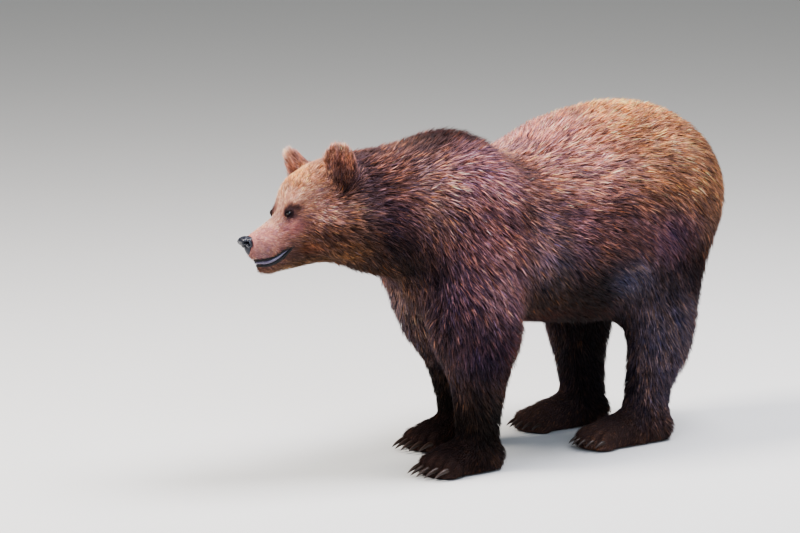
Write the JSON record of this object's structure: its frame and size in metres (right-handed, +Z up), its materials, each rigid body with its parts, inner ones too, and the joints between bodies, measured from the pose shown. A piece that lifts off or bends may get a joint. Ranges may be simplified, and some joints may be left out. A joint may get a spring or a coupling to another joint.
{
  "type": "brown bear",
  "caption": "Life-size standing brown bear, head turned a little to its right with the mouth just open, all paws flat on level ground.",
  "frame": {"origin": "middle of the footprint of the whole bear, on the ground its paws stand on", "axes": "+Z up, -Y the way the bear's body faces, +X to the bear's left"},
  "size_m": [0.4986, 1.486, 0.8593],
  "materials": {
    "body_coat": "thick brown fur, golden brown over the rump and darker on the flanks",
    "face_coat": "short light brown fur",
    "leg_coat": "dark brown, nearly black fur",
    "nose_leather": "moist, finely pebbled bare skin",
    "eyes": "wet gloss, very dark brown",
    "claws": "dark horn, worn dull at the tips"
  },
  "bodies": {
    "root": {"head": "face_coat", "lower_jaw": "face_coat", "nose": "nose_leather", "ear_left": "face_coat", "ear_right": "face_coat", "eye_left": "eyes", "eye_right": "eyes", "neck": "body_coat", "trunk": "body_coat", "tail": "body_coat", "front_leg_left": "leg_coat", "front_paw_left": "leg_coat", "front_claw_left_1": "claws", "front_claw_left_2": "claws", "front_claw_left_3": "claws", "front_claw_left_4": "claws", "front_claw_left_5": "claws", "hind_leg_left": "leg_coat", "hind_paw_left": "leg_coat", "hind_claw_left_1": "claws", "hind_claw_left_2": "claws", "hind_claw_left_3": "claws", "hind_claw_left_4": "claws", "hind_claw_left_5": "claws", "front_leg_right": "leg_coat", "front_paw_right": "leg_coat", "front_claw_right_1": "claws", "front_claw_right_2": "claws", "front_claw_right_3": "claws", "front_claw_right_4": "claws", "front_claw_right_5": "claws", "hind_leg_right": "leg_coat", "hind_paw_right": "leg_coat", "hind_claw_right_1": "claws", "hind_claw_right_2": "claws", "hind_claw_right_3": "claws", "hind_claw_right_4": "claws", "hind_claw_right_5": "claws"}
  },
  "joints": []
}
